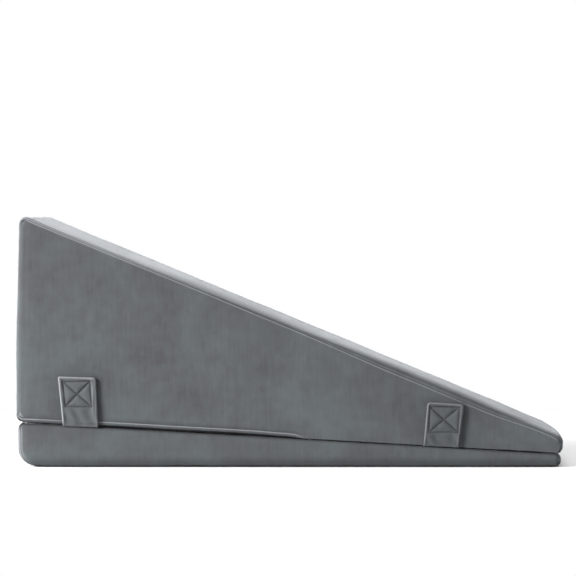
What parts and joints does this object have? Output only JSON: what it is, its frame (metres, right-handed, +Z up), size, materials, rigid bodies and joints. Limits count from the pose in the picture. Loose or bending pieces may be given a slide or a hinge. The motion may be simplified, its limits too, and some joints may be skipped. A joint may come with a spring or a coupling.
{
  "type": "leg elevation pillow",
  "caption": "Sloping foam wedge in grey velvet for raising the legs, fastened by stitched tabs to a thin tapered base pad.",
  "frame": {"origin": "on the surface it rests on, under the middle of the pillow", "axes": "+X along the pillow from the high end to the thin tip, +Y across it away from the side with the tabs that the picture shows, +Z up"},
  "size_m": [0.6646, 0.5148, 0.305],
  "materials": {
    "velvet_cover": "grey short-pile velvet, matte with a soft sheen",
    "velvet_tab": "the same velvet doubled, turned in at its edges",
    "thread": "dark grey polyester sewing thread"
  },
  "bodies": {
    "root": {"wedge_cushion": "velvet_cover", "base_pad": "velvet_cover", "tab_front_high": "velvet_tab", "tab_front_low": "velvet_tab", "tab_back_high": "velvet_tab", "tab_back_low": "velvet_tab"}
  },
  "joints": []
}
